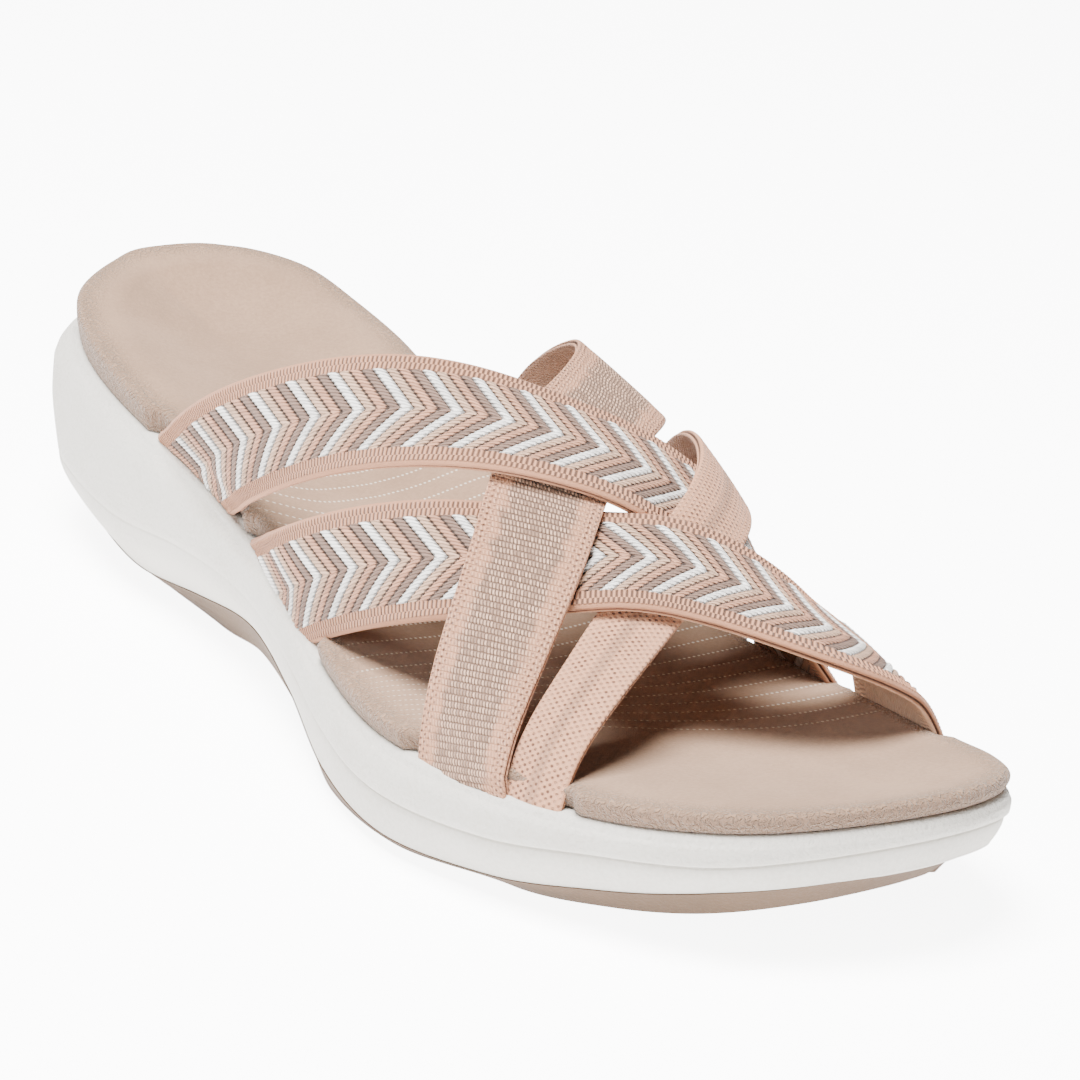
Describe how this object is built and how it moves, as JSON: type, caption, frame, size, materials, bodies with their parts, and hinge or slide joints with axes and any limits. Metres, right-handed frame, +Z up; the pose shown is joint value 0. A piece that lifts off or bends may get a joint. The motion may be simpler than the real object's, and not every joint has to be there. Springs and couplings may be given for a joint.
{
  "type": "slip-on sandal",
  "caption": "Right slip-on sandal: ribbed rubber outsole, thick foam wedge midsole, padded footbed and crossing elastic straps over an open toe and open heel.",
  "frame": {"origin": "middle of the overall box on the ground plane, which the heel and the forefoot stand on", "axes": "+X from heel to toe, +Y to the shoe's inner side, +Z up"},
  "size_m": [0.2602, 0.0914, 0.0731],
  "materials": {
    "outsole": "matt tan rubber",
    "midsole": "matt white moulded foam with a fine grain",
    "insole": "tan suede-like nap",
    "upper_straps": "woven elastic, salmon with chevron cords"
  },
  "bodies": {
    "root": {"outsole": "outsole", "midsole": "midsole", "insole": "insole", "upper_straps": "upper_straps"}
  },
  "joints": []
}
